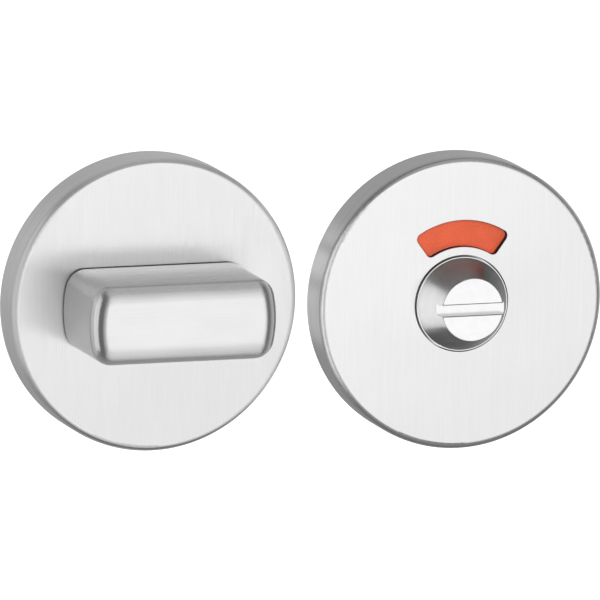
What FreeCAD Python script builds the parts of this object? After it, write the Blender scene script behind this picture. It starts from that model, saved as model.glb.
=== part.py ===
import FreeCAD, Part
import math
import os
import Sketcher

# Bathroom thumb turn lock set, in millimetres.
# Two round roses lie side by side and face -Y, with +Z up. The door's face is the plane y = 0.
# Each piece is drawn in its own frame: x to the right, y up, z from the door's face to the front.
# The turn half's axis is at x = 0, and the release half's axis is one axis spacing to its right
# and a little lower.

V = FreeCAD.Vector
doc = FreeCAD.newDocument("thumb_turn_lock")

SIZES = [
    # both roses
    ("axis_spacing", 56.3),
    ("release_drop", 2.3),
    ("rose_dia", 52.0),
    ("rose_depth", 7.5),
    ("cover_sheet", 1.2),
    ("edge_round", 1.15),
    ("inner_round", 0.35),
    ("snap_low", 1.5),
    ("snap_high", 2.7),
    ("snap_depth", 0.3),
    # under-roses
    ("plate_dia", 49.0),
    ("plate_front", 5.9),
    ("bead_dia", 49.9),
    ("bead_low", 1.7),
    ("bead_lower", 1.9),
    ("bead_upper", 2.3),
    ("bead_high", 2.5),
    ("notch_inner", 23.6),
    ("notch_outer", 25.6),
    ("notch_half", 3.5),
    ("bolt_offset", 19.0),
    ("bolt_turn", 58.0),
    ("lug_dia", 7.5),
    ("lug_length", 8.0),
    ("bolt_hole_dia", 4.4),
    ("bolt_seat_dia", 8.4),
    ("bolt_seat", 2.4),
    ("screw_offset", 18.0),
    ("screw_hole_dia", 4.2),
    ("screw_seat_dia", 8.0),
    ("screw_seat", 2.4),
    ("core_inner", 13.4),
    ("core_outer", 22.2),
    ("core_start", 27.0),
    ("core_end", 63.0),
    ("core_corner", 1.0),
    # turn half
    ("turn_hole_dia", 12.6),
    ("turn_opening_dia", 22.0),
    ("turn_core_depth", 3.6),
    ("bush_bore", 11.1),
    ("bush_dia", 12.5),
    ("bush_flange_dia", 19.0),
    ("bush_flange", 1.0),
    ("bush_front", 7.7),
    ("bar_base", 7.8),
    ("bar_front", 25.8),
    ("bar_length", 33.9),
    ("bar_height", 14.2),
    ("bar_corner", 3.6),
    ("bar_end_radius", 20.0),
    ("bar_edge", 2.9),
    ("bar_foot_edge", 0.25),
    ("shank_dia", 11.0),
    ("shank_end", 1.0),
    ("shank_bevel", 0.4),
    ("ring_groove_dia", 10.5),
    ("turn_groove_low", 2.4),
    ("turn_groove_high", 3.5),
    ("socket_side", 6.1),
    ("turn_socket_top", 14.7),
    ("set_hole_dia", 4.1),
    ("set_level", 11.0),
    ("set_screw_dia", 3.96),
    ("set_screw_length", 3.0),
    ("set_screw_gap", 3.02),
    ("set_hex", 1.155),
    ("set_hex_depth", 1.6),
    ("washer_bore", 11.2),
    ("washer_dia", 17.6),
    ("washer_low", 3.5),
    ("washer_thick", 0.6),
    ("wave_bore", 11.8),
    ("wave_dia", 17.6),
    ("wave_sheet", 0.3),
    ("wave_low", 4.2),
    ("wave_high", 5.28),
    # retaining rings
    ("clip_bore", 10.6),
    ("clip_dia", 14.2),
    ("clip_thick", 1.0),
    ("clip_gap", 2.6),
    ("clip_ear_dia", 2.6),
    ("clip_ear_hole", 1.3),
    ("clip_ear_side", 2.7),
    ("clip_ear_drop", 7.1),
    ("turn_clip_low", 2.45),
    ("release_clip_low", 2.95),
    # spindle and bolts
    ("spindle_side", 6.0),
    ("spindle_length", 60.0),
    ("spindle_front", 14.5),
    ("spindle_bevel", 0.5),
    ("bolt_head_dia", 7.6),
    ("bolt_head_side", 1.5),
    ("bolt_head_bevel", 1.1),
    ("bolt_head_top_dia", 5.6),
    ("bolt_neck_dia", 3.4),
    ("bolt_neck_length", 10.8),
    ("bolt_dia", 4.0),
    ("bolt_thread_length", 28.5),
    ("bolt_tip", 0.7),
    ("bolt_tip_dia", 2.8),
    ("bolt_hex", 1.4434),
    ("bolt_hex_depth", 1.5),
    # release half
    ("release_hole_dia", 17.1),
    ("window_inner", 10.1),
    ("window_outer", 14.8),
    ("window_start", 54.0),
    ("window_end", 126.0),
    ("window_corner", 1.0),
    ("window_inner_corner", 0.9),
    ("window_edge", 0.12),
    ("release_bore", 11.1),
    ("release_floor", 2.4),
    ("release_pocket_dia", 37.2),
    ("release_core_depth", 1.2),
    ("release_end", 0.5),
    ("release_groove_low", 2.9),
    ("release_groove_high", 4.0),
    ("release_flange_dia", 19.2),
    ("release_flange_low", 5.0),
    ("release_flange_high", 6.2),
    ("release_foot_dia", 16.7),
    ("release_foot_top", 7.85),
    ("release_cone_dia", 16.44),
    ("release_top_dia", 11.2),
    ("release_top", 13.8),
    ("release_edge", 0.2),
    ("release_socket_top", 6.5),
    ("slot_width", 1.95),
    ("slot_depth", 1.5),
    ("slot_reach", 12.0),
    ("peg_dia", 1.6),
    ("peg_hole_dia", 1.8),
    ("peg_offset", 7.9),
    ("peg_length", 0.9),
    ("disc_bore", 11.2),
    ("disc_web_low", 4.0),
    ("disc_web_high", 5.0),
    ("disc_step", 10.9),
    ("disc_inner", 9.9),
    ("disc_outer", 17.8),
    ("disc_low", 4.55),
    ("disc_front", 5.65),
    ("field_thick", 0.15),
    ("field_inner", 10.0),
    ("field_outer", 17.6),
    ("field_angle", 89.0),
    ("spring_bore", 23.0),
    ("spring_dia", 30.0),
    ("spring_sheet", 0.4),
    ("spring_low", 2.43),
    ("spring_high", 4.45),
    ("insert_dia", 5.6),
    ("insert_seat_dia", 5.64),
    ("insert_length", 9.4),
    ("insert_seat_depth", 9.5),
    ("insert_thread_dia", 3.3),
    ("insert_waist_dia", 4.8),
    ("insert_waist_low", 3.9),
    ("insert_waist", 1.2),
]
SIZE = dict(SIZES)

sheet = doc.addObject("Spreadsheet::Sheet", "Dims")
for row, (name, value) in enumerate(SIZES, 1):
    sheet.set("A%d" % row, name)
    sheet.set("B%d" % row, str(value))
    sheet.setAlias("B%d" % row, name)
doc.recompute()


def num(text):
    """The value of a sum of named sizes and numbers, read from left to right."""
    words = text.split()
    total, op = 0.0, "+"
    for w in words:
        if w in "+-*/":
            op = w
            continue
        x = SIZE[w] if w in SIZE else float(w)
        if op == "+":
            total += x
        elif op == "-":
            total -= x
        elif op == "*":
            total *= x
        else:
            total /= x
    return total


def ref(text):
    """The same sum as a reference to the sheet."""
    return " ".join("Dims." + w if w in SIZE else w for w in text.split())


# ---------------------------------------------------------------- sketches

def new_body(label):
    b = doc.addObject("PartDesign::Body", label)
    b.Label = label
    return b


def origin_plane(body, role):
    return [f for f in body.Origin.OriginFeatures if f.Role == role][0]


def new_sketch(body, name, role="XY_Plane", level=None, turn=0.0):
    sk = body.newObject("Sketcher::SketchObject", name)
    sk.AttachmentSupport = [(origin_plane(body, role), "")]
    sk.MapMode = "FlatFace"
    sk.AttachmentOffset = FreeCAD.Placement(
        V(0, 0, num(level) if level else 0.0), FreeCAD.Rotation(V(0, 0, 1), turn)
    )
    if level:
        sk.setExpression("AttachmentOffset.Base.z", ref(level))
    return sk


def pin_coordinate(sk, kind, geo, pos, text):
    """Holds one coordinate of a sketch point at a size, which may be negative."""
    if text == "0":
        sk.addConstraint(
            Sketcher.Constraint("PointOnObject", geo, pos, -2 if kind == "DistanceX" else -1)
        )
        return
    if text.startswith("-"):
        text = text[1:].strip()
        i = sk.addConstraint(Sketcher.Constraint(kind, geo, pos, -1, 1, num(text)))
    else:
        i = sk.addConstraint(Sketcher.Constraint(kind, -1, 1, geo, pos, num(text)))
    sk.setExpression("Constraints[%d]" % i, ref(text))


def value_of(text):
    return -num(text[1:].strip()) if text.startswith("-") else num(text)


def polygon(sk, points):
    xy = [V(value_of(a), value_of(b), 0) for a, b in points]
    n = len(xy)
    first = None
    for i in range(n):
        g = sk.addGeometry(Part.LineSegment(xy[i], xy[(i + 1) % n]), False)
        first = g if first is None else first
    for i in range(n):
        sk.addConstraint(
            Sketcher.Constraint("Coincident", first + i, 2, first + (i + 1) % n, 1)
        )
    for i, (a, b) in enumerate(points):
        pin_coordinate(sk, "DistanceX", first + i, 1, a)
        pin_coordinate(sk, "DistanceY", first + i, 1, b)


def circle(sk, x, y, diameter):
    g = sk.addGeometry(
        Part.Circle(V(value_of(x), value_of(y), 0), V(0, 0, 1), num(diameter) / 2), False
    )
    i = sk.addConstraint(Sketcher.Constraint("Diameter", g, num(diameter)))
    sk.setExpression("Constraints[%d]" % i, ref(diameter))
    if x == "0" and y == "0":
        sk.addConstraint(Sketcher.Constraint("Coincident", g, 3, -1, 1))
    else:
        pin_coordinate(sk, "DistanceX", g, 3, x)
        pin_coordinate(sk, "DistanceY", g, 3, y)


def sector(sk, inner, outer, start, end):
    """A piece of a ring about the axis, between two radii and two angles."""
    a, b = math.radians(num(start)), math.radians(num(end))
    ri, ro = num(inner), num(outer)
    at = lambda r, w: V(r * math.cos(w), r * math.sin(w), 0)
    arc = lambda r: Part.ArcOfCircle(Part.Circle(V(0, 0, 0), V(0, 0, 1), r), a, b)
    go = sk.addGeometry(arc(ro), False)
    gi = sk.addGeometry(arc(ri), False)
    la = sk.addGeometry(Part.LineSegment(at(ri, a), at(ro, a)), False)
    lb = sk.addGeometry(Part.LineSegment(at(ri, b), at(ro, b)), False)
    for g, text in ((go, outer), (gi, inner)):
        sk.addConstraint(Sketcher.Constraint("Coincident", g, 3, -1, 1))
        i = sk.addConstraint(Sketcher.Constraint("Radius", g, num(text)))
        sk.setExpression("Constraints[%d]" % i, ref(text))
    sk.addConstraint(Sketcher.Constraint("Coincident", la, 1, gi, 1))
    sk.addConstraint(Sketcher.Constraint("Coincident", la, 2, go, 1))
    sk.addConstraint(Sketcher.Constraint("Coincident", lb, 1, gi, 2))
    sk.addConstraint(Sketcher.Constraint("Coincident", lb, 2, go, 2))
    for line, text, w in ((la, start, a), (lb, end, b)):
        sk.addConstraint(Sketcher.Constraint("PointOnObject", -1, 1, line))
        i = sk.addConstraint(Sketcher.Constraint("Angle", line, w))
        sk.setExpression("Constraints[%d]" % i, ref(text) + " * 1 deg")


# ---------------------------------------------------------------- features

def settle(body, feature, cut):
    """Recomputes and makes sure that the feature took material away or added it."""
    before = feature.BaseFeature.Shape.Volume if feature.BaseFeature else 0.0
    doc.recompute()
    after = feature.Shape.Volume
    if cut and not after < before - 1e-6:
        raise RuntimeError("%s in %s takes nothing away" % (feature.Name, body.Label))
    if not cut and not after > before + 1e-6:
        raise RuntimeError("%s in %s adds nothing" % (feature.Name, body.Label))
    return feature


def revolve(body, sk, cut=False):
    f = body.newObject(
        "PartDesign::Groove" if cut else "PartDesign::Revolution", sk.Name + "_turned"
    )
    f.Profile = sk
    f.ReferenceAxis = (sk, ["V_Axis"])
    f.Angle = 360.0
    sk.Visibility = False
    return settle(body, f, cut)


def pad(body, sk, length, backwards=False):
    f = body.newObject("PartDesign::Pad", sk.Name + "_pad")
    f.Profile = sk
    f.Length = num(length)
    f.setExpression("Length", ref(length))
    f.Reversed = backwards
    return settle(body, f, False)


def pocket(body, sk, depth=None, backwards=False):
    f = body.newObject("PartDesign::Pocket", sk.Name + "_pocket")
    f.Profile = sk
    if depth is None:
        f.Type = 1
    else:
        f.Type = 0
        f.Length = num(depth)
        f.setExpression("Length", ref(depth))
    f.Reversed = backwards
    return settle(body, f, True)


def around(body, feature, count):
    f = body.newObject("PartDesign::PolarPattern", feature.Name + "_around")
    f.Originals = [feature]
    axis = [x for x in body.Origin.OriginFeatures if x.Role == "Z_Axis"][0]
    f.Axis = (axis, [""])
    f.Angle = 360.0
    f.Occurrences = count
    body.Tip = f
    doc.recompute()
    if abs(f.Shape.Volume - feature.Shape.Volume) < 1e-6:
        raise RuntimeError("%s in %s repeats nothing" % (f.Name, body.Label))
    return f


def edge_names(feature, test):
    out = []
    for i, e in enumerate(feature.Shape.Edges, 1):
        if test(e):
            out.append("Edge%d" % i)
    if not out:
        raise RuntimeError("no edge found on " + feature.Name)
    return out


def dress(body, kind, feature, test, size, name):
    f = body.newObject("PartDesign::" + kind, name)
    f.Base = (feature, edge_names(feature, test))
    prop = "Radius" if kind == "Fillet" else "Size"
    setattr(f, prop, num(size))
    f.setExpression(prop, ref(size))
    body.Tip = f
    doc.recompute()
    return f


def ring_edge(radius, level):
    """Picks the round edge of this radius about the axis at this level."""
    def test(e):
        c = e.Curve
        return (
            isinstance(c, Part.Circle)
            and abs(c.Radius - radius) < 1e-4
            and abs(c.Center.z - level) < 1e-4
            and math.hypot(c.Center.x, c.Center.y) < 1e-4
        )
    return test


def level_edge(level, least=0.0, most=1000.0):
    """Picks the edges that lie at this level, between two radii."""
    def test(e):
        b = e.BoundBox
        far = min(math.hypot(v.X, v.Y) for v in e.Vertexes)
        return abs(b.ZMin - level) < 1e-4 and abs(b.ZMax - level) < 1e-4 and least < far < most
    return test


def upright_edge(low, high, inner, outer):
    """Picks straight edges along the axis between two levels and two radii."""
    def test(e):
        if len(e.Vertexes) != 2:
            return False
        a, b = e.Vertexes
        r = math.hypot(a.X, a.Y)
        return (
            abs(a.X - b.X) < 1e-5
            and abs(a.Y - b.Y) < 1e-5
            and abs(abs(a.Z - b.Z) - (high - low)) < 1e-4
            and inner - 1e-3 < r < outer + 1e-3
            and abs(min(a.Z, b.Z) - low) < 1e-4
        )
    return test


# ---------------------------------------------------------------- plain solids

def bind(obj, **sizes):
    for prop, text in sizes.items():
        path = {"x": "Placement.Base.x", "y": "Placement.Base.y", "z": "Placement.Base.z"}.get(
            prop, prop
        )
        negative = text.startswith("-")
        obj.setExpression(path, ("-(" + ref(text[1:].strip()) + ")") if negative else ref(text))
    return obj


def cylinder(name, diameter, height, **place):
    c = doc.addObject("Part::Cylinder", name)
    return bind(c, Radius=diameter + " / 2", Height=height, **place)


def cone(name, low, high, height, **place):
    c = doc.addObject("Part::Cone", name)
    return bind(c, Radius1=low + " / 2", Radius2=high + " / 2", Height=height, **place)


def box(name, length, width, height, **place):
    c = doc.addObject("Part::Box", name)
    return bind(c, Length=length, Width=width, Height=height, **place)


def hexagon(name, corner, height, **place):
    c = doc.addObject("Part::Prism", name)
    c.Polygon = 6
    return bind(c, Circumradius=corner, Height=height, **place)


def less(name, base, tool):
    c = doc.addObject("Part::Cut", name)
    c.Base, c.Tool = base, tool
    c.Refine = True
    return c


def joined(name, parts):
    c = doc.addObject("Part::MultiFuse", name)
    c.Shapes = parts
    c.Refine = True
    return c


def mirrored(name, source, normal):
    c = doc.addObject("Part::Mirroring", name)
    c.Source = source
    c.Base = V(0, 0, 0)
    c.Normal = normal
    return c


def group(label, parts):
    c = doc.addObject("Part::Compound", label)
    c.Links = parts
    c.Label = label
    return c


FRONT = FreeCAD.Rotation(V(1, 0, 0), 90)  # the piece's front, its z, faces -Y and its y is up
sub_parts = []


def place(obj, label, half, back=None, turn=0.0):
    """Stands a piece on its half's axis, facing the front, turned about that axis."""
    obj.Label = label
    obj.Placement = FreeCAD.Placement(V(0, 0, 0), FRONT * FreeCAD.Rotation(V(0, 0, 1), turn))
    if half == "release":
        obj.setExpression("Placement.Base.x", "Dims.axis_spacing")
        obj.setExpression("Placement.Base.z", "-Dims.release_drop")
    if back:
        obj.setExpression("Placement.Base.y", ref(back))
    sub_parts.append(obj)


# ---------------------------------------------------------------- the cover roses

def cover(label, hole):
    """A drawn cap with a hole on its axis and a snap groove inside its skirt."""
    b = new_body(label)
    sk = new_sketch(b, label + "_profile", "XZ_Plane")
    skirt = "rose_dia / 2 - cover_sheet"
    groove = "rose_dia / 2 - cover_sheet + snap_depth"
    under = "rose_depth - cover_sheet"
    polygon(sk, [
        (skirt, "0"),
        ("rose_dia / 2", "0"),
        ("rose_dia / 2", "rose_depth"),
        (hole + " / 2", "rose_depth"),
        (hole + " / 2", under),
        (skirt, under),
        (skirt, "snap_high"),
        (groove, "snap_high - snap_depth"),
        (groove, "snap_low + snap_depth"),
        (skirt, "snap_low"),
    ])
    turned = revolve(b, sk)
    r, top = num("rose_dia / 2"), num("rose_depth")
    f = dress(b, "Fillet", turned, ring_edge(r, top), "edge_round", label + "_front_edge")
    f = dress(b, "Fillet", f, ring_edge(num(skirt), num(under)), "inner_round", label + "_inner_edge")
    return b, f


turn_cover, _ = cover("turn_cover", "turn_hole_dia")
place(turn_cover, "turn_cover", "turn")

release_cover, last = cover("release_cover", "release_hole_dia")
sk = new_sketch(release_cover, "window", "XY_Plane", "rose_depth")
sector(sk, "window_inner", "window_outer", "window_start", "window_end")
f = pocket(release_cover, sk, "cover_sheet + 0.5")
low, high = num("rose_depth - cover_sheet"), num("rose_depth")
ri, ro = num("window_inner"), num("window_outer")
f = dress(release_cover, "Fillet", f, upright_edge(low, high, ro, ro), "window_corner", "window_outer_corners")
f = dress(release_cover, "Fillet", f, upright_edge(low, high, ri, ri), "window_inner_corner", "window_inner_corners")
f = dress(release_cover, "Fillet", f, level_edge(high, 0.0, ro + 0.5), "window_edge", "front_hole_edges")
place(release_cover, "release_cover", "release")

# ---------------------------------------------------------------- the under-roses

def backplate(label, points, front, core_depth, line):
    """A moulded disc with a snap bead, cored back, two lugs and two screw holes.

    The lugs stand on a line turned by an angle from level, and the screw holes square to it.
    """
    b = new_body(label)
    sk = new_sketch(b, label + "_profile", "XZ_Plane")
    bead = [
        ("plate_dia / 2", "0"),
        ("plate_dia / 2", "bead_low"),
        ("bead_dia / 2", "bead_lower"),
        ("bead_dia / 2", "bead_upper"),
        ("plate_dia / 2", "bead_high"),
        ("plate_dia / 2", "plate_front"),
    ]
    polygon(sk, [points[0]] + bead + points[1:])
    revolve(b, sk)
    # the bead is parted in four, so that the rim can spring
    sk = new_sketch(b, label + "_notch", "XY_Plane", "plate_front", line + 45.0)
    polygon(sk, [
        ("notch_inner", "-notch_half"),
        ("notch_outer", "-notch_half"),
        ("notch_outer", "notch_half"),
        ("notch_inner", "notch_half"),
    ])
    around(b, pocket(b, sk), 4)
    # the cored back
    sk = new_sketch(b, label + "_core", "XY_Plane", None, line)
    sector(sk, "core_inner", "core_outer", "core_start", "core_end")
    around(b, pocket(b, sk, core_depth, True), 4)
    # lugs that locate in the door
    sk = new_sketch(b, label + "_lugs", "XY_Plane", None, line)
    circle(sk, "bolt_offset", "0", "lug_dia")
    circle(sk, "-bolt_offset", "0", "lug_dia")
    pad(b, sk, "lug_length", True)
    # spare holes for wood screws, with seats for their heads
    sk = new_sketch(b, label + "_screw_seats", "XY_Plane", "plate_front", line)
    circle(sk, "0", "screw_offset", "screw_seat_dia")
    circle(sk, "0", "-screw_offset", "screw_seat_dia")
    pocket(b, sk, "plate_front - screw_seat")
    sk = new_sketch(b, label + "_screw_holes", "XY_Plane", "plate_front", line)
    circle(sk, "0", "screw_offset", "screw_hole_dia")
    circle(sk, "0", "-screw_offset", "screw_hole_dia")
    pocket(b, sk)
    return b


TURN_LINE = num("bolt_turn")
RELEASE_LINE = -num("bolt_turn")  # mirrored, so that the halves meet through the door

turn_backplate = backplate(
    "turn_backplate",
    [("turn_opening_dia / 2", "0"), ("turn_opening_dia / 2", "plate_front")],
    "plate_front",
    "turn_core_depth",
    TURN_LINE,
)
sk = new_sketch(turn_backplate, "bolt_seats", "XY_Plane", "plate_front", TURN_LINE)
circle(sk, "bolt_offset", "0", "bolt_seat_dia")
circle(sk, "-bolt_offset", "0", "bolt_seat_dia")
pocket(turn_backplate, sk, "plate_front - bolt_seat")
sk = new_sketch(turn_backplate, "bolt_holes", "XY_Plane", "plate_front", TURN_LINE)
circle(sk, "bolt_offset", "0", "bolt_hole_dia")
circle(sk, "-bolt_offset", "0", "bolt_hole_dia")
pocket(turn_backplate, sk)
place(turn_backplate, "turn_backplate", "turn")

release_backplate = backplate(
    "release_backplate",
    [
        ("release_bore / 2", "0"),
        ("release_pocket_dia / 2", "plate_front"),
        ("release_pocket_dia / 2", "release_floor"),
        ("release_bore / 2", "release_floor"),
    ],
    "release_floor",
    "release_core_depth",
    RELEASE_LINE,
)
sk = new_sketch(release_backplate, "insert_seats", "XY_Plane", "- lug_length", RELEASE_LINE)
sk.setExpression("AttachmentOffset.Base.z", "-Dims.lug_length")
circle(sk, "bolt_offset", "0", "insert_seat_dia")
circle(sk, "-bolt_offset", "0", "insert_seat_dia")
pocket(release_backplate, sk, "insert_seat_depth", True)
place(release_backplate, "release_backplate", "release")

# ---------------------------------------------------------------- the thumb turn

bar_block = new_body("bar_block")
sk = new_sketch(bar_block, "bar_plan", "XY_Plane", "bar_base")
half_len, half_high = num("bar_length / 2"), num("bar_height / 2")
rc, re = num("bar_corner"), num("bar_end_radius")
ex = half_len - re  # the end arc's centre, on the far side of the middle
cy = half_high - rc
cx = ex + math.sqrt((re - rc) ** 2 - cy ** 2)
tilt = math.atan2(cy, cx - ex)  # where the end arc meets the corner
Z = V(0, 0, 1)
arc = lambda x, y, r, a, b: Part.ArcOfCircle(Part.Circle(V(x, y, 0), Z, r), a, b)
top = sk.addGeometry(Part.LineSegment(V(-cx, half_high, 0), V(cx, half_high, 0)), False)
c_tr = sk.addGeometry(arc(cx, cy, rc, tilt, math.pi / 2), False)
e_r = sk.addGeometry(arc(ex, 0, re, -tilt, tilt), False)
c_br = sk.addGeometry(arc(cx, -cy, rc, -math.pi / 2, -tilt), False)
bottom = sk.addGeometry(Part.LineSegment(V(cx, -half_high, 0), V(-cx, -half_high, 0)), False)
c_bl = sk.addGeometry(arc(-cx, -cy, rc, math.pi + tilt, 1.5 * math.pi), False)
e_l = sk.addGeometry(arc(-ex, 0, re, math.pi - tilt, math.pi + tilt), False)
c_tl = sk.addGeometry(arc(-cx, cy, rc, math.pi / 2, math.pi - tilt), False)
C = Sketcher.Constraint
for a, pa, b, pb in (
    (top, 2, c_tr, 2), (c_tr, 1, e_r, 2), (e_r, 1, c_br, 2), (c_br, 1, bottom, 1),
    (bottom, 2, c_bl, 2), (c_bl, 1, e_l, 2), (e_l, 1, c_tl, 2), (c_tl, 1, top, 1),
):
    sk.addConstraint(C("Tangent", a, pa, b, pb))
for g in (c_br, c_bl, c_tl):
    sk.addConstraint(C("Equal", c_tr, g))
sk.addConstraint(C("Equal", e_r, e_l))
sk.addConstraint(C("Horizontal", top))
sk.addConstraint(C("PointOnObject", e_r, 3, -1))
sk.addConstraint(C("PointOnObject", e_l, 3, -1))
for kind, args, text in (
    ("Radius", (c_tr,), "bar_corner"),
    ("Radius", (e_r,), "bar_end_radius"),
    ("DistanceX", (e_r, 3, -1, 1), "bar_end_radius - bar_length / 2"),
    ("DistanceX", (-1, 1, e_l, 3), "bar_end_radius - bar_length / 2"),
    ("DistanceY", (-1, 1, top, 1), "bar_height / 2"),
    ("DistanceY", (bottom, 1, -1, 1), "bar_height / 2"),
):
    value = {"bar_end_radius - bar_length / 2": re - half_len}.get(text)
    i = sk.addConstraint(C(kind, *args, num(text) if value is None else value))
    sk.setExpression("Constraints[%d]" % i, ref(text))
bar = pad(bar_block, sk, "bar_front - bar_base")
bar = dress(bar_block, "Fillet", bar, level_edge(num("bar_base")), "bar_foot_edge", "bar_foot_round")
# the front edge has one wide rounding all the way round
dress(bar_block, "Fillet", bar, level_edge(num("bar_front")), "bar_edge", "bar_front_round")

turn_groove = less(
    "turn_groove",
    cylinder("turn_groove_outer", "shank_dia + 1", "turn_groove_high - turn_groove_low", z="turn_groove_low"),
    cylinder("turn_groove_inner", "ring_groove_dia", "turn_groove_high", z="turn_groove_low - 1"),
)
turn_socket = box("turn_socket", "socket_side", "socket_side", "turn_socket_top",
                  x="-socket_side / 2", y="-socket_side / 2")
# the grub screw's hole, from the bar's underside to the socket
set_hole = doc.addObject("Part::Cylinder", "set_hole")
set_hole.Placement = FreeCAD.Placement(V(0, 0, 0), FreeCAD.Rotation(V(1, 0, 0), 90))
bind(set_hole, Radius="set_hole_dia / 2", Height="bar_height / 2 + 1", z="set_level")
thumb_turn = less(
    "thumb_turn",
    joined("turn_solid", [
        bar_block,
        cylinder("turn_shank", "shank_dia", "bar_base + 1 - shank_end - shank_bevel", z="shank_end + shank_bevel"),
        cone("turn_shank_end", "shank_dia - shank_bevel * 2", "shank_dia", "shank_bevel", z="shank_end"),
    ]),
    joined("turn_away", [turn_groove, turn_socket, set_hole]),
)
place(thumb_turn, "thumb_turn", "turn")

# ---------------------------------------------------------------- what holds the turn

bush = less(
    "turn_bush",
    joined("bush_body", [
        cylinder("bush_sleeve", "bush_dia", "bush_front - rose_depth + cover_sheet + bush_flange",
                 z="rose_depth - cover_sheet - bush_flange"),
        cylinder("bush_flange_disc", "bush_flange_dia", "bush_flange",
                 z="rose_depth - cover_sheet - bush_flange"),
    ]),
    cylinder("bush_bore_hole", "bush_bore", "bush_front", z="1.0"),
)
place(bush, "turn_bush", "turn")

thrust = less(
    "turn_thrust_washer",
    cylinder("thrust_disc", "washer_dia", "washer_thick", z="washer_low"),
    cylinder("thrust_hole", "washer_bore", "washer_thick + 2", z="washer_low - 1"),
)
place(thrust, "turn_thrust_washer", "turn")


def clip(label, low):
    """A C-shaped retaining ring with two eared ends below its gap."""
    ring = less(
        label + "_ring",
        cylinder(label + "_outer", "clip_dia", "clip_thick", z=low),
        cylinder(label + "_inner", "clip_bore", "clip_thick + 2", z=low + " - 1"),
    )
    ears = [
        cylinder(label + "_ear_" + side, "clip_ear_dia", "clip_thick",
                 x=sign + "clip_ear_side", y="-clip_ear_drop", z=low)
        for side, sign in (("left", "-"), ("right", ""))
    ]
    holes = [
        cylinder(label + "_hole_" + side, "clip_ear_hole", "clip_thick + 2",
                 x=sign + "clip_ear_side", y="-clip_ear_drop", z=low + " - 1")
        for side, sign in (("left", "-"), ("right", ""))
    ]
    gap = box(label + "_gap", "clip_gap", "clip_dia", "clip_thick + 2",
              x="-clip_gap / 2", y="-clip_dia", z=low + " - 1")
    bore = cylinder(label + "_clear", "clip_bore", "clip_thick + 2", z=low + " - 1")
    return less(label, joined(label + "_eared", [ring] + ears), joined(label + "_away", holes + [gap, bore]))


turn_clip = clip("turn_circlip", "turn_clip_low")
place(turn_clip, "turn_circlip", "turn")
release_clip = clip("release_circlip", "release_clip_low")
place(release_clip, "release_circlip", "release")


def wave(label, bore, dia, thick, low, high, waves):
    """A ring of spring strip that rises and falls around the axis."""
    ri, ro = num(bore + " / 2"), num(dia + " / 2")
    z0, z1, t = num(low), num(high), num(thick)
    mid, amp = (z0 + z1 - t) / 2, (z1 - z0 - t) / 2
    count = 24 * waves

    def loop(r, lift):
        pts = [
            V(
                r * math.cos(2 * math.pi * i / count),
                r * math.sin(2 * math.pi * i / count),
                mid + lift + amp * math.cos(waves * 2 * math.pi * i / count),
            )
            for i in range(count)
        ]
        curve = Part.BSplineCurve()
        curve.interpolate(Points=pts, PeriodicFlag=True)
        return curve.toShape()

    loops = [loop(ri, 0), loop(ro, 0), loop(ro, t), loop(ri, t)]
    faces = [Part.makeRuledSurface(loops[i], loops[(i + 1) % 4]) for i in range(4)]
    faces = [f for s in faces for f in s.Faces]
    shell = Part.makeShell(faces)
    shell.sewShape()
    solid = Part.makeSolid(shell)
    if solid.Volume < 0:
        solid.reverse()
    obj = doc.addObject("Part::Feature", label)
    obj.Shape = solid
    return obj


place(wave("turn_wave_washer", "wave_bore", "wave_dia", "wave_sheet", "wave_low", "wave_high", 3),
      "turn_wave_washer", "turn")
place(wave("release_wave_spring", "spring_bore", "spring_dia", "spring_sheet", "spring_low", "spring_high", 4),
      "release_wave_spring", "release")

# ---------------------------------------------------------------- spindle and fixings

spindle = new_body("spindle")
sk = new_sketch(spindle, "spindle_section", "XY_Plane")
polygon(sk, [
    ("-spindle_side / 2", "-spindle_side / 2"),
    ("spindle_side / 2", "-spindle_side / 2"),
    ("spindle_side / 2", "spindle_side / 2"),
    ("-spindle_side / 2", "spindle_side / 2"),
])
f = pad(spindle, sk, "spindle_length")
ends = lambda e: abs(e.BoundBox.ZLength) < 1e-6
dress(spindle, "Chamfer", f, ends, "spindle_bevel", "spindle_end_bevels")
place(spindle, "spindle", "turn", "spindle_length - spindle_front")

grub = less(
    "spindle_set_screw",
    cylinder("grub_body", "set_screw_dia", "set_screw_length"),
    hexagon("grub_hex", "set_hex", "set_hex_depth + 1", z="set_screw_length - set_hex_depth"),
)
grub.Label = "spindle_set_screw"
grub.Placement = FreeCAD.Placement(V(0, 0, 0), FreeCAD.Rotation(V(1, 0, 0), 180))
grub.setExpression("Placement.Base.y", "-Dims.set_level")
grub.setExpression("Placement.Base.z", "-Dims.set_screw_gap")
sub_parts.append(grub)


def bolt():
    """A through bolt with a hexagon socket, a waisted neck in the lug and a plain-drawn thread."""
    neck_low = "bolt_seat - bolt_neck_length"
    thread_low = "bolt_seat - bolt_neck_length - bolt_thread_length"
    at = {"x": "-bolt_offset", "y": "0"}
    whole = joined("bolt_solid", [
        cylinder("bolt_head", "bolt_head_dia", "bolt_head_side", x="-bolt_offset", z="bolt_seat"),
        cone("bolt_head_top", "bolt_head_dia", "bolt_head_top_dia", "bolt_head_bevel",
             x="-bolt_offset", z="bolt_seat + bolt_head_side"),
        cylinder("bolt_neck", "bolt_neck_dia", "bolt_neck_length", x="-bolt_offset", z=neck_low),
        cylinder("bolt_thread", "bolt_dia", "bolt_thread_length", x="-bolt_offset", z=thread_low),
        cone("bolt_point", "bolt_tip_dia", "bolt_dia", "bolt_tip", x="-bolt_offset", z=thread_low + " - bolt_tip"),
    ])
    recess = hexagon("bolt_recess", "bolt_hex", "bolt_hex_depth + 1", x="-bolt_offset",
                     z="bolt_seat + bolt_head_side + bolt_head_bevel - bolt_hex_depth")
    return less("bolt_left", whole, recess)


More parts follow.
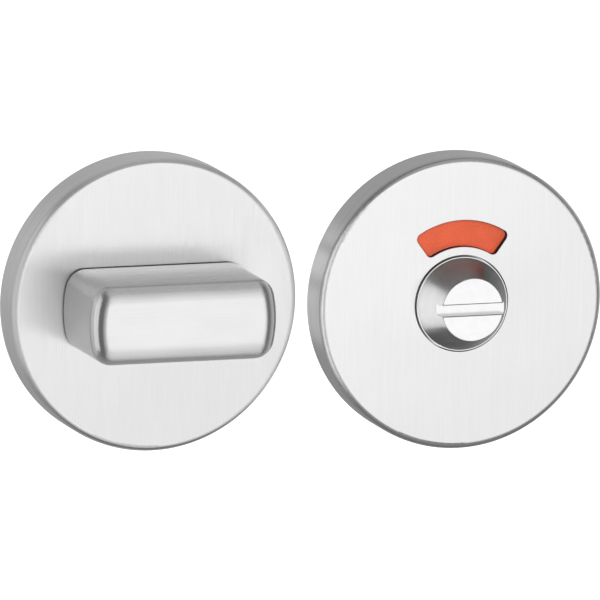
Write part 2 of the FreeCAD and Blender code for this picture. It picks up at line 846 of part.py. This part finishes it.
left = bolt()
bolts = group("fixing_bolts", [left, mirrored("bolt_right", left, V(1, 0, 0))])
place(bolts, "fixing_bolts", "turn", None, TURN_LINE)


def insert():
    """A brass insert with a waist that the lug's plastic grips."""
    outer = cylinder("insert_body", "insert_dia", "insert_length", x="-bolt_offset", z="-lug_length")
    hole = cylinder("insert_hole", "insert_thread_dia", "insert_length + 2", x="-bolt_offset", z="-lug_length + 1")
    band = less(
        "insert_band",
        cylinder("insert_band_outer", "insert_dia + 2", "insert_waist", x="-bolt_offset", z="-lug_length - insert_waist_low"),
        cylinder("insert_band_inner", "insert_waist_dia", "insert_waist + 2", x="-bolt_offset", z="-lug_length - insert_waist_low + 1"),
    )
    return less("insert_left", outer, joined("insert_away", [hole, band]))


left = insert()
inserts = group("threaded_inserts", [left, mirrored("insert_right", left, V(1, 0, 0))])
place(inserts, "threaded_inserts", "release", None, RELEASE_LINE)

# ---------------------------------------------------------------- the coin release

coin_release = new_body("coin_release")
sk = new_sketch(coin_release, "release_profile", "XZ_Plane")
polygon(sk, [
    ("0", "release_end"),
    ("shank_dia / 2", "release_end"),
    ("shank_dia / 2", "release_flange_low"),
    ("release_flange_dia / 2", "release_flange_low"),
    ("release_flange_dia / 2", "release_flange_high"),
    ("release_foot_dia / 2", "release_flange_high"),
    ("release_foot_dia / 2", "release_foot_top"),
    ("release_cone_dia / 2", "release_foot_top"),
    ("release_top_dia / 2", "release_top"),
    ("0", "release_top"),
])
f = revolve(coin_release, sk)
sk = new_sketch(coin_release, "coin_slot", "XY_Plane", "release_top")
polygon(sk, [
    ("-slot_reach", "-slot_width / 2"),
    ("slot_reach", "-slot_width / 2"),
    ("slot_reach", "slot_width / 2"),
    ("-slot_reach", "slot_width / 2"),
])
f = pocket(coin_release, sk, "slot_depth")
f = dress(coin_release, "Fillet", f, level_edge(num("release_top")), "release_edge", "release_top_edges")
f = dress(coin_release, "Chamfer", f, ring_edge(num("shank_dia / 2"), num("release_end")), "shank_bevel", "release_shank_bevel")
sk = new_sketch(coin_release, "release_groove", "XZ_Plane")
polygon(sk, [
    ("ring_groove_dia / 2", "release_groove_low"),
    ("shank_dia / 2 + 0.5", "release_groove_low"),
    ("shank_dia / 2 + 0.5", "release_groove_high"),
    ("ring_groove_dia / 2", "release_groove_high"),
])
revolve(coin_release, sk, True)
# two pegs behind the flange drive the disc
sk = new_sketch(coin_release, "drive_pegs", "XY_Plane", "release_flange_low")
circle(sk, "peg_offset", "0", "peg_dia")
circle(sk, "-peg_offset", "0", "peg_dia")
pad(coin_release, sk, "peg_length", True)
sk = new_sketch(coin_release, "release_socket", "XY_Plane", "release_end")
polygon(sk, [
    ("-socket_side / 2", "-socket_side / 2"),
    ("socket_side / 2", "-socket_side / 2"),
    ("socket_side / 2", "socket_side / 2"),
    ("-socket_side / 2", "socket_side / 2"),
])
pocket(coin_release, sk, "release_socket_top - release_end", True)
place(coin_release, "coin_release", "release")

# ---------------------------------------------------------------- the indicator

indicator_disc = new_body("indicator_disc")
sk = new_sketch(indicator_disc, "disc_profile", "XZ_Plane")
polygon(sk, [
    ("disc_bore / 2", "disc_web_low"),
    ("disc_step", "disc_web_low"),
    ("disc_step", "disc_low"),
    ("disc_outer", "disc_low"),
    ("disc_outer", "disc_front"),
    ("disc_inner", "disc_front"),
    ("disc_inner", "disc_web_high"),
    ("disc_bore / 2", "disc_web_high"),
])
revolve(indicator_disc, sk)
sk = new_sketch(indicator_disc, "peg_holes", "XY_Plane", "disc_front")
circle(sk, "peg_offset", "0", "peg_hole_dia")
circle(sk, "-peg_offset", "0", "peg_hole_dia")
pocket(indicator_disc, sk)
place(indicator_disc, "indicator_disc", "release")

field = cylinder("field_disc", "field_outer * 2", "field_thick", z="disc_front")
field.setExpression("Angle", "Dims.field_angle * 1 deg")
field.Placement = FreeCAD.Placement(V(0, 0, 0), FreeCAD.Rotation(V(0, 0, 1), 90.0 - num("field_angle / 2")))
upper = less("field_upper", field, cylinder("field_hole", "field_inner * 2", "field_thick + 2", z="disc_front - 1"))
fields = group("indicator_red_fields", [upper, mirrored("field_lower", upper, V(0, 1, 0))])
place(fields, "indicator_red_fields", "release")

# ---------------------------------------------------------------- checks and files

doc.recompute()
for o in doc.Objects:
    if "Invalid" in o.State or "Error" in o.State:
        raise RuntimeError("%s is in state %s" % (o.Name, o.State))
os.makedirs("parts", exist_ok=True)
for o in sub_parts:
    s = o.Shape
    if s.isNull() or not s.isValid() or not s.Solids:
        raise RuntimeError("%s has no valid solid" % o.Label)
    s.exportStep("parts/%s.step" % o.Label)
    bb = s.BoundBox
    print("%-22s %d solid(s) %9.2f mm3  x %.2f %.2f  y %.2f %.2f  z %.2f %.2f" % (
        o.Label, len(s.Solids), s.Volume, bb.XMin, bb.XMax, bb.YMin, bb.YMax, bb.ZMin, bb.ZMax))
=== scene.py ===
import math

import bpy
from mathutils import Matrix, Vector

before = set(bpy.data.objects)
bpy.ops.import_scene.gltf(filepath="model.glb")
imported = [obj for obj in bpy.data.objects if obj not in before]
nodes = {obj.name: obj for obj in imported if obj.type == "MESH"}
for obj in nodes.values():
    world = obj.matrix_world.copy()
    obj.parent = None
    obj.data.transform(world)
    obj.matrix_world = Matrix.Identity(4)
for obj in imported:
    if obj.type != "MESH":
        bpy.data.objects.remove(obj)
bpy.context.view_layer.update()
scene = bpy.context.scene

# The release half's axis, in metres.
REL_X, REL_Z = 0.0563, -0.0023

# ------------------------------------------------------------------ node helpers


def tree_of(name):
    m = bpy.data.materials.new(name)
    m.use_nodes = True
    t = m.node_tree
    t.nodes.clear()
    out = t.nodes.new("ShaderNodeOutputMaterial")
    bsdf = t.nodes.new("ShaderNodeBsdfPrincipled")
    t.links.new(bsdf.outputs["BSDF"], out.inputs["Surface"])
    return m, t, bsdf


def node(t, kind, **props):
    n = t.nodes.new("ShaderNode" + kind)
    for k, v in props.items():
        setattr(n, k, v)
    return n


def link(t, a, b):
    t.links.new(a, b)


def feed(t, socket, v):
    if isinstance(v, (int, float)):
        socket.default_value = v
    elif isinstance(v, tuple):
        socket.default_value = v
    else:
        link(t, v, socket)


def calc(t, op, a, b=None, clamp=False):
    n = node(t, "Math", operation=op, use_clamp=clamp)
    feed(t, n.inputs[0], a)
    if b is not None:
        feed(t, n.inputs[1], b)
    return n.outputs[0]


def vec(t, op, a, b=None):
    n = node(t, "VectorMath", operation=op)
    feed(t, n.inputs[0], a)
    if b is not None:
        feed(t, n.inputs[1], b)
    return n.outputs[0]


def split(t, vector):
    n = node(t, "SeparateXYZ")
    link(t, vector, n.inputs[0])
    return n.outputs["X"], n.outputs["Y"], n.outputs["Z"]


def join(t, x, y, z):
    n = node(t, "CombineXYZ")
    for s, v in zip(n.inputs, (x, y, z)):
        feed(t, s, v)
    return n.outputs[0]


def grey(t, value):
    n = node(t, "CombineColor")
    for k in ("Red", "Green", "Blue"):
        link(t, value, n.inputs[k])
    return n.outputs["Color"]


def scaled(t, vector, sx, sy, sz):
    n = node(t, "Mapping")
    n.inputs["Scale"].default_value = (sx, sy, sz)
    link(t, vector, n.inputs["Vector"])
    return n.outputs["Vector"]


def noise(t, vector, scale, detail=2.0, rough=0.5):
    n = node(t, "TexNoise")
    n.inputs["Scale"].default_value = scale
    n.inputs["Detail"].default_value = detail
    n.inputs["Roughness"].default_value = rough
    link(t, vector, n.inputs["Vector"])
    return n.outputs["Fac"]


def remap(t, value, lo, hi, a, b, smooth=False):
    n = node(t, "MapRange")
    n.interpolation_type = "SMOOTHSTEP" if smooth else "LINEAR"
    link(t, value, n.inputs["Value"])
    for key, v in (("From Min", lo), ("From Max", hi), ("To Min", a), ("To Max", b)):
        n.inputs[key].default_value = v
    return n.outputs["Result"]


def ramp(t, value, stops, mode="LINEAR"):
    n = node(t, "ValToRGB")
    n.color_ramp.interpolation = mode
    e = n.color_ramp.elements
    while len(e) < len(stops):
        e.new(0.5)
    for el, (pos, c) in zip(e, stops):
        el.position = pos
        el.color = (*c, 1.0) if isinstance(c, tuple) else (c, c, c, 1.0)
    link(t, value, n.inputs["Fac"])
    return n.outputs["Color"]


def bump(t, height, strength, distance):
    n = node(t, "Bump")
    n.inputs["Strength"].default_value = strength
    n.inputs["Distance"].default_value = distance
    link(t, height, n.inputs["Height"])
    return n.outputs["Normal"]


def mixed(t, fac, a, b):
    n = node(t, "Mix")
    n.data_type = "FLOAT"
    link(t, fac, n.inputs["Factor"])
    feed(t, n.inputs["A"], a)
    feed(t, n.inputs["B"], b)
    return n.outputs["Result"]


def to_world(t, vector):
    n = node(t, "VectorTransform", vector_type="VECTOR", convert_from="OBJECT", convert_to="WORLD")
    link(t, vector, n.inputs[0])
    return n.outputs[0]


# ------------------------------------------------------------------ materials


def satin_rose(name, shade, rough, aniso, centre, painted_light_slope, window=False):
    """Brushed stainless: upright lines on the face, lines round the skirt."""
    m, t, b = tree_of(name)
    co = node(t, "TexCoord")
    obj = co.outputs["Object"]
    x, y, z = split(t, obj)
    dx, dz = calc(t, "SUBTRACT", x, centre[0]), calc(t, "SUBTRACT", z, centre[1])
    nx, ny, nz = split(t, co.outputs["Normal"])
    front = remap(t, calc(t, "ABSOLUTE", ny), 0.55, 0.90, 0.0, 1.0, True)
    face = noise(t, scaled(t, obj, 5600.0, 900.0, 150.0), 1.0, 3.0, 0.65)
    broad = noise(t, scaled(t, obj, 1500.0, 300.0, 60.0), 1.0, 2.0, 0.5)
    skirt = noise(t, scaled(t, obj, 45.0, 4200.0, 45.0), 1.0, 3.0, 0.65)
    cloud = noise(t, obj, 70.0, 3.0, 0.55)
    fine = mixed(t, front, skirt, face)
    lines = calc(t, "MULTIPLY", remap(t, fine, 0.25, 0.75, -1.0, 1.0), remap(t, front, 0.0, 1.0, 0.11, 0.05))
    tone = calc(t, "ADD", lines, remap(t, broad, 0.3, 0.7, -0.006, 0.006))
    tone = calc(t, "ADD", tone, remap(t, cloud, 0.3, 0.7, -0.008, 0.008))
    # the face is painted a little brighter towards its upper left, as painted light
    up = calc(t, "ADD", calc(t, "MULTIPLY", dz, painted_light_slope[1]), calc(t, "MULTIPLY", dx, painted_light_slope[0]))
    tone = calc(t, "ADD", tone, calc(t, "MULTIPLY", up, front))
    tone = calc(t, "ADD", tone, shade)
    # the rounded edge and the skirt are a little duller than the face
    wear = calc(t, "ADD", remap(t, fine, 0.2, 0.8, -0.05, 0.05), remap(t, front, 0.0, 1.0, rough + 0.09, rough))
    if window:
        # the walls of the window are dull, and painted near black as painted shade in the recess
        far = calc(t, "SQRT", calc(t, "ADD", calc(t, "MULTIPLY", dx, dx), calc(t, "MULTIPLY", dz, dz)))
        inside = calc(t, "MULTIPLY", calc(t, "LESS_THAN", far, 0.0158), calc(t, "GREATER_THAN", far, 0.0095))
        wall = calc(t, "LESS_THAN", calc(t, "ABSOLUTE", ny), 0.55)
        painted_shade_walls = calc(t, "MULTIPLY", inside, wall)
        tone = mixed(t, painted_shade_walls, tone, remap(t, cloud, 0.3, 0.7, 0.036, 0.054))
        wear = mixed(t, painted_shade_walls, wear, 0.55)
    paint = grey(t, tone)
    if window:
        # its lower edge is painted dark red, a painted reflection of the red fields
        out = calc(t, "ADD", calc(t, "MULTIPLY", nx, dx), calc(t, "MULTIPLY", nz, dz))
        painted_red_reflection = calc(t, "MULTIPLY", painted_shade_walls, remap(t, out, 0.002, 0.006, 0.0, 1.0, True))
        red_reflection_mix = node(t, "Mix")
        red_reflection_mix.data_type = "RGBA"
        link(t, painted_red_reflection, red_reflection_mix.inputs["Factor"])
        link(t, paint, red_reflection_mix.inputs["A"])
        red_reflection_mix.inputs["B"].default_value = (0.20, 0.026, 0.021, 1.0)
        paint = red_reflection_mix.outputs["Result"]
    link(t, paint, b.inputs["Base Color"])
    b.inputs["Metallic"].default_value = 1.0
    link(t, wear, b.inputs["Roughness"])
    link(t, remap(t, front, 0.0, 1.0, aniso - 0.15, aniso), b.inputs["Anisotropic"])
    # gloss spreads across the lines: sideways on the face, along the axis on the skirt
    link(t, to_world(t, join(t, front, calc(t, "SUBTRACT", 1.0, front), 0.0)), b.inputs["Tangent"])
    link(t, bump(t, fine, 0.05, 0.00001), b.inputs["Normal"])
    return m


def satin_bar(name, shade, rough, aniso):
    """Brushed stainless bar: lines along its length, round over the ends."""
    m, t, b = tree_of(name)
    co = node(t, "TexCoord")
    obj = co.outputs["Object"]
    nrm = co.outputs["Normal"]
    nx, ny, nz = split(t, nrm)
    end = remap(t, calc(t, "ABSOLUTE", nx), 0.60, 0.95, 0.0, 1.0, True)
    along = noise(t, scaled(t, obj, 55.0, 4600.0, 4600.0), 1.0, 3.0, 0.65)
    ends = remap(t, noise(t, scaled(t, obj, 900.0, 140.0, 3000.0), 1.0, 3.0, 0.6), 0.0, 1.0, 0.32, 0.68)
    cloud = noise(t, scaled(t, obj, 130.0, 260.0, 260.0), 1.0, 3.0, 0.55)
    fine = mixed(t, end, along, ends)
    tone = calc(t, "ADD", remap(t, fine, 0.25, 0.75, -0.028, 0.028), remap(t, cloud, 0.3, 0.7, -0.016, 0.016))
    tone = calc(t, "ADD", tone, shade)
    # the foot, just off the rose, is painted near black, as painted shade in the gap
    x, y, z = split(t, obj)
    painted_shade_foot = remap(t, y, -0.00835, -0.00800, 0.0, 1.0, True)
    # its top and underside are painted brighter towards the rose, as painted light
    painted_light_near = remap(t, y, -0.0160, -0.0085, 1.14, 1.50)
    tone = calc(t, "MULTIPLY", tone, mixed(t, remap(t, calc(t, "ABSOLUTE", nz), 0.80, 0.98, 0.0, 1.0, True), 1.0, painted_light_near))
    # the ends are painted a little darker, as painted shade
    tone = calc(t, "MULTIPLY", tone, remap(t, end, 0.0, 1.0, 1.0, 0.88))
    # a painted dark band along the edges of the top and underside, standing in for a dark reflection
    upper = calc(t, "MULTIPLY", remap(t, nz, 0.90, 0.998, 1.0, 0.0), remap(t, nz, 0.82, 0.90, 0.0, 1.0, True))
    lower = remap(t, calc(t, "ABSOLUTE", calc(t, "ADD", nz, 0.965)), 0.010, 0.035, 0.75, 0.0, True)
    painted_dark_band = calc(t, "MULTIPLY", calc(t, "MAXIMUM", upper, lower), remap(t, ny, -0.20, -0.08, 1.0, 0.0))
    tone = calc(t, "MULTIPLY", tone, remap(t, painted_dark_band, 0.0, 1.0, 1.0, 0.66))
    tone = mixed(t, painted_shade_foot, tone, 0.06)
    link(t, grey(t, tone), b.inputs["Base Color"])
    b.inputs["Metallic"].default_value = 1.0
    level = remap(t, calc(t, "ABSOLUTE", nz), 0.80, 0.98, 0.0, 1.0, True)
    broad = remap(t, calc(t, "ABSOLUTE", ny), 0.80, 0.98, 0.0, 1.0, True)
    wear = calc(t, "ADD", remap(t, fine, 0.2, 0.8, -0.04, 0.04), remap(t, broad, 0.0, 1.0, rough - 0.12, rough))
    link(t, wear, b.inputs["Roughness"])
    b.inputs["Anisotropic"].default_value = aniso
    across = vec(t, "CROSS_PRODUCT", nrm, (1.0, 0.0, 0.0))
    across = vec(t, "ADD", across, join(t, 0.0, 0.0, calc(t, "MULTIPLY", end, 0.4)))
    link(t, to_world(t, across), b.inputs["Tangent"])
    # its top and underside are slightly crowned from back to front
    lean = calc(t, "MULTIPLY", level, remap(t, y, -0.0230, -0.0080, -0.15, 0.12))
    # and its front falls off a little towards its long edges
    high = calc(t, "ABSOLUTE", z)
    fall = calc(t, "MULTIPLY", remap(t, high, 0.0031, 0.0044, 0.0, 0.20, True), remap(t, high, 0.0042, 0.0069, 1.0, 0.0))
    plain = remap(t, calc(t, "ABSOLUTE", ny), 0.10, 0.60, 0.0, 1.0, True)
    nod = calc(t, "MULTIPLY", calc(t, "MULTIPLY", fall, plain), calc(t, "SIGN", z))
    crown = vec(t, "NORMALIZE", vec(t, "ADD", to_world(t, nrm), to_world(t, join(t, 0.0, lean, nod))))
    grain = node(t, "Bump")
    grain.inputs["Strength"].default_value = 0.06
    grain.inputs["Distance"].default_value = 0.00001
    link(t, fine, grain.inputs["Height"])
    link(t, crown, grain.inputs["Normal"])
    link(t, grain.outputs["Normal"], b.inputs["Normal"])
    return m


def turned_bright(name, shade, flank, rough):
    """Turned and polished metal, with faint rings round its axis and a darker flank."""
    m, t, b = tree_of(name)
    co = node(t, "TexCoord")
    x, y, z = split(t, co.outputs["Object"])
    dx, dz = calc(t, "SUBTRACT", x, REL_X), calc(t, "SUBTRACT", z, REL_Z)
    far = calc(t, "SQRT", calc(t, "ADD", calc(t, "MULTIPLY", dx, dx), calc(t, "MULTIPLY", dz, dz)))
    rings = noise(t, scaled(t, join(t, far, y, 0.0), 7000.0, 7000.0, 1.0), 1.0, 2.0, 0.6)
    cloud = noise(t, co.outputs["Object"], 500.0, 3.0, 0.55)
    tone = calc(t, "ADD", remap(t, rings, 0.25, 0.75, -0.02, 0.02), remap(t, cloud, 0.3, 0.7, -0.012, 0.012))
    nx, ny, nz = split(t, co.outputs["Normal"])
    # the walls of the slot are as bright as the front
    slot = calc(t, "MULTIPLY", calc(t, "GREATER_THAN", calc(t, "ABSOLUTE", nz), 0.9), calc(t, "LESS_THAN", calc(t, "ABSOLUTE", dz), 0.0016))
    bright = calc(t, "MAXIMUM", remap(t, calc(t, "ABSOLUTE", ny), 0.55, 0.90, 0.0, 1.0, True), slot)
    flat = remap(t, bright, 0.0, 1.0, flank, shade)
    link(t, grey(t, calc(t, "ADD", tone, flat)), b.inputs["Base Color"])
    b.inputs["Metallic"].default_value = 1.0
    # the flank is a little less polished than the front
    dull = remap(t, bright, 0.0, 1.0, 0.09, 0.0)
    link(t, calc(t, "ADD", dull, remap(t, rings, 0.2, 0.8, rough - 0.03, rough + 0.03)), b.inputs["Roughness"])
    return m


def plain_metal(name, colour, rough, metallic=1.0, grain=400.0, spread=0.05):
    m, t, b = tree_of(name)
    co = node(t, "TexCoord")
    obj = co.outputs["Object"]
    f = noise(t, obj, grain, 4.0, 0.6)
    lo = tuple(max(0.0, c * (1 - spread)) for c in colour)
    hi = tuple(min(1.0, c * (1 + spread)) for c in colour)
    link(t, ramp(t, f, [(0.3, lo), (0.7, hi)]), b.inputs["Base Color"])
    b.inputs["Metallic"].default_value = metallic
    link(t, remap(t, f, 0.3, 0.7, rough - 0.06, rough + 0.06), b.inputs["Roughness"])
    link(t, bump(t, f, 0.1, 0.00002), b.inputs["Normal"])
    return m


def plastic(name, colour, rough, grain=1500.0, spread=0.06, height=0.25, specular=0.5):
    m, t, b = tree_of(name)
    co = node(t, "TexCoord")
    obj = co.outputs["Object"]
    f = noise(t, obj, grain, 3.0, 0.55)
    wide = noise(t, obj, grain * 0.12, 2.0, 0.5)
    both = calc(t, "ADD", calc(t, "MULTIPLY", f, 0.6), calc(t, "MULTIPLY", wide, 0.4))
    lo = tuple(max(0.0, c * (1 - spread)) for c in colour)
    hi = tuple(min(1.0, c * (1 + spread)) for c in colour)
    paint = ramp(t, both, [(0.35, lo), (0.65, hi)])
    link(t, paint, b.inputs["Base Color"])
    link(t, remap(t, f, 0.3, 0.7, rough - 0.06, rough + 0.06), b.inputs["Roughness"])
    b.inputs["Specular IOR Level"].default_value = specular
    link(t, bump(t, f, height, 0.00002), b.inputs["Normal"])
    return m


MATERIALS = {
    "turn_cover": satin_rose("steel_rose_turn", 0.80, 0.33, 0.97, (0.0, 0.0), (-0.3, 1.5)),
    "release_cover": satin_rose("steel_rose_release", 0.63, 0.23, 0.95, (REL_X, REL_Z), (-0.5, 1.2), True),
    "thumb_turn": satin_bar("steel_bar", 0.72, 0.38, 0.85),
    "coin_release": turned_bright("polished_release", 0.62, 0.29, 0.22),
    "indicator_red_fields": plastic("red_foil", (0.79, 0.133, 0.0616), 0.5, 2600.0, 0.10, specular=0.12),
    "indicator_disc": plastic("white_plastic", (0.86, 0.86, 0.84), 0.45),
    "turn_backplate": plastic("dark_nylon", (0.035, 0.035, 0.037), 0.5),
    "turn_bush": plastic("natural_nylon", (0.72, 0.69, 0.6), 0.45),
    "spindle": plain_metal("plated_steel", (0.62, 0.63, 0.65), 0.3),
    "turn_circlip": plain_metal("spring_steel", (0.25, 0.255, 0.27), 0.4),
    "spindle_set_screw": plain_metal("black_steel", (0.045, 0.045, 0.05), 0.45),
    "threaded_inserts": plain_metal("turned_brass", (0.80, 0.58, 0.25), 0.28),
}
SAME = {
    "release_backplate": "turn_backplate",
    "fixing_bolts": "spindle",
    "turn_thrust_washer": "spindle",
    "turn_wave_washer": "turn_circlip",
    "release_circlip": "turn_circlip",
    "release_wave_spring": "turn_circlip",
}
for name, o in nodes.items():
    o.data.materials.clear()
    o.data.materials.append(MATERIALS[SAME.get(name, name)])

# ------------------------------------------------------------------ camera

THETA, PHI, ROLL = math.radians(18.32), math.radians(10.77), math.radians(-0.8)
DIST, PX = 3.385, 5721.0  # metres from the target, and pixels to a metre there
ct, st, cp, sp = math.cos(THETA), math.sin(THETA), math.cos(PHI), math.sin(PHI)
right = Vector((ct, -st, 0.0))
up = Vector((st * sp, ct * sp, cp))
back = Vector((-st * cp, -ct * cp, sp))
cam_x = right * math.cos(ROLL) - up * math.sin(ROLL)
cam_y = right * math.sin(ROLL) + up * math.cos(ROLL)
target = Vector((0.02802, -0.004, -0.001125)) - cam_x * (1.8 / PX) + cam_y * (0.6 / PX)
data = bpy.data.cameras.new("camera")
data.sensor_width = 36.0
data.lens = 36.0 * DIST * PX / 600.0
data.clip_start = 0.05
data.clip_end = 60.0
cam = bpy.data.objects.new("camera", data)
scene.collection.objects.link(cam)
m = Matrix((cam_x, cam_y, back)).transposed().to_4x4()
m.translation = target + back * DIST
cam.matrix_world = m
scene.camera = cam

# ------------------------------------------------------------------ studio

scene.view_settings.view_transform = "Standard"
scene.view_settings.look = "None"

world = bpy.data.worlds.new("studio")
scene.world = world
world.use_nodes = True
wt = world.node_tree
wt.nodes.clear()
w_out = wt.nodes.new("ShaderNodeOutputWorld")
co = node(wt, "TexCoord")
x, y, z = split(wt, co.outputs["Generated"])
az = calc(wt, "MULTIPLY", calc(wt, "ARCTAN2", x, calc(wt, "MULTIPLY", y, -1.0)), 180.0 / math.pi)
el = calc(wt, "MULTIPLY", calc(wt, "ARCSINE", z), 180.0 / math.pi)
az_back = calc(wt, "ABSOLUTE", az)


def panel(value, lo, hi, soft_lo, soft_hi):
    """1 between two angles, with soft edges."""
    a = remap(wt, value, lo - soft_lo, lo + soft_lo, 0.0, 1.0, True)
    b = remap(wt, value, hi - soft_hi, hi + soft_hi, 1.0, 0.0, True)
    return calc(wt, "MULTIPLY", a, b)


# azimuth 0 is in front and grows to the right; elevation grows upwards
PANELS = [
    # level, azimuth from, to, edge softness, elevation from, to, edge softness
    (1.46, -11.0, 35.0, 6.0, 8.0, -26.0, 22.0, 9.0, 12.0),      # the front panel
    (0.30, 71.0, 142.0, 6.0, 12.0, -40.0, 30.0, 12.0, 12.0),    # the right, behind
]
total = None
for level, a0, a1, sa, sb, e0, e1, se, sf in PANELS:
    p = calc(wt, "MULTIPLY", calc(wt, "MULTIPLY", panel(az, a0, a1, sa, sb), panel(el, e0, e1, se, sf)), level)
    total = p if total is None else calc(wt, "ADD", total, p)
behind = calc(wt, "MULTIPLY", remap(wt, az_back, 130.0, 160.0, 0.0, 1.0, True), panel(el, -6.0, 28.0, 10.0, 12.0))
total = calc(wt, "ADD", total, calc(wt, "MULTIPLY", behind, 0.06))
rear = calc(wt, "MULTIPLY", remap(wt, y, -0.10, 0.40, 0.0, 0.32, True), remap(wt, el, -20.0, 8.0, 0.60, 1.0, True))
total = calc(wt, "ADD", total, rear)
total = calc(wt, "ADD", total, 0.17)
sky = node(wt, "Background")
link(wt, grey(wt, total), sky.inputs["Color"])
sky.inputs["Strength"].default_value = 1.0
white = node(wt, "Background")
white.inputs["Color"].default_value = (1.0, 1.0, 1.0, 1.0)
white.inputs["Strength"].default_value = 1.0
path = node(wt, "LightPath")
pick = node(wt, "MixShader")
link(wt, path.outputs["Is Camera Ray"], pick.inputs["Fac"])
link(wt, sky.outputs[0], pick.inputs[1])
link(wt, white.outputs[0], pick.inputs[2])
link(wt, pick.outputs[0], w_out.inputs["Surface"])


def soft_box(name, aim, azimuth, elevation, distance, width, height, level, lit, shaded_by=None):
    """A rectangular light that faces a point and lights only some pieces."""
    data = bpy.data.lights.new(name, "AREA")
    data.shape = "RECTANGLE"
    data.size, data.size_y = width, height
    data.energy = level * math.pi * width * height
    o = bpy.data.objects.new(name, data)
    scene.collection.objects.link(o)
    a, e = math.radians(azimuth), math.radians(elevation)
    out = Vector((math.sin(a) * math.cos(e), -math.cos(a) * math.cos(e), math.sin(e)))
    o.location = Vector(aim) + out * distance
    o.rotation_euler = out.to_track_quat("Z", "Y").to_euler()
    group = bpy.data.collections.new(name + "_lit")
    for n in lit:
        group.objects.link(nodes[n])
    o.light_linking.receiver_collection = group
    if shaded_by:
        group = bpy.data.collections.new(name + "_shaded_by")
        for n in shaded_by:
            group.objects.link(nodes[n])
        o.light_linking.blocker_collection = group
    return o


def passes_rose(o):
    """Lets a light reach a piece through the rose beside it, which it isn't shaded by."""
    o.data.cycles.use_multiple_importance_sampling = False


rel = (REL_X, -0.0075, REL_Z)
turn = (0.0, -0.0120, 0.0)
TURN = ["turn_cover", "thumb_turn"]
RELEASE = ["release_cover", "coin_release"]
cone = (REL_X, -0.0105, REL_Z)
soft_box("turn_left_box", turn, -83.0, 3.0, 0.6, 0.37, 1.10, 0.75, TURN, TURN)
soft_box("turn_left_edge_box", turn, -46.0, -5.0, 0.6, 0.37, 0.84, 0.30, TURN[:1], TURN)
soft_box("turn_back_box", turn, -116.0, -9.0, 0.6, 0.44, 0.84, 0.30, TURN[1:], TURN)
soft_box("bar_end_box", turn, -22.0, -9.0, 0.6, 0.16, 0.50, 0.50, TURN[1:], TURN)
soft_box("turn_right_box", turn, 75.0, -9.0, 0.6, 0.44, 0.84, 0.40, TURN[:1], TURN)
soft_box("turn_top_box", turn, 18.0, 62.0, 0.6, 0.60, 0.75, 0.32, TURN, TURN)
soft_box("bar_top_box", turn, 18.0, 35.0, 0.6, 0.60, 0.32, 0.28, TURN[1:], TURN)
soft_box("turn_low_box", turn, 18.0, -40.0, 0.6, 0.60, 0.36, 0.65, TURN[:1], TURN)
soft_box("bar_low_box", turn, 18.0, -52.0, 0.6, 0.60, 0.56, 0.66, TURN[1:], TURN)
soft_box("release_left_box", rel, -62.0, -8.0, 0.6, 0.40, 0.87, 1.2, RELEASE, RELEASE)
soft_box("release_left_edge_box", rel, -28.0, -8.0, 0.6, 0.26, 0.87, 0.40, RELEASE, RELEASE)
soft_box("release_back_box", rel, -138.0, -3.0, 0.6, 0.52, 0.42, 0.52, RELEASE[:1], RELEASE)
soft_box("release_top_box", rel, 18.0, 50.0, 0.6, 0.60, 0.50, 0.35, RELEASE, RELEASE)
soft_box("release_low_box", rel, 18.0, -50.0, 0.6, 0.60, 0.50, 0.17, RELEASE, RELEASE)
passes_rose(soft_box("cone_left_box", cone, -114.0, -6.0, 0.5, 0.44, 0.80, 2.15, RELEASE[1:], RELEASE[1:]))
passes_rose(soft_box("cone_top_box", cone, -172.0, 72.0, 0.5, 0.80, 0.50, 0.26, RELEASE[1:], RELEASE[1:]))
passes_rose(soft_box("cone_low_box", cone, 180.0, -72.0, 0.5, 0.50, 0.50, 0.07, RELEASE[1:], RELEASE[1:]))
soft_box("window_box", rel, -18.0, 11.0, 0.8, 0.30, 0.30, 14.4, ["indicator_red_fields", "indicator_disc"])

# a plain pale floor, well below the set
fm = bpy.data.meshes.new("floor")
fm.from_pydata([(-30, -30, 0), (30, -30, 0), (30, 30, 0), (-30, 30, 0)], [], [(0, 1, 2, 3)])
floor = bpy.data.objects.new("floor", fm)
floor.location = (0.0, 0.0, -3.6)
scene.collection.objects.link(floor)
pm, pt, pb = tree_of("pale_floor")
pb.inputs["Base Color"].default_value = (0.9, 0.9, 0.9, 1.0)
pb.inputs["Emission Color"].default_value = (1.0, 1.0, 1.0, 1.0)
pb.inputs["Emission Strength"].default_value = 1.0
fm.materials.append(pm)
floor.visible_glossy = False
floor.visible_diffuse = False
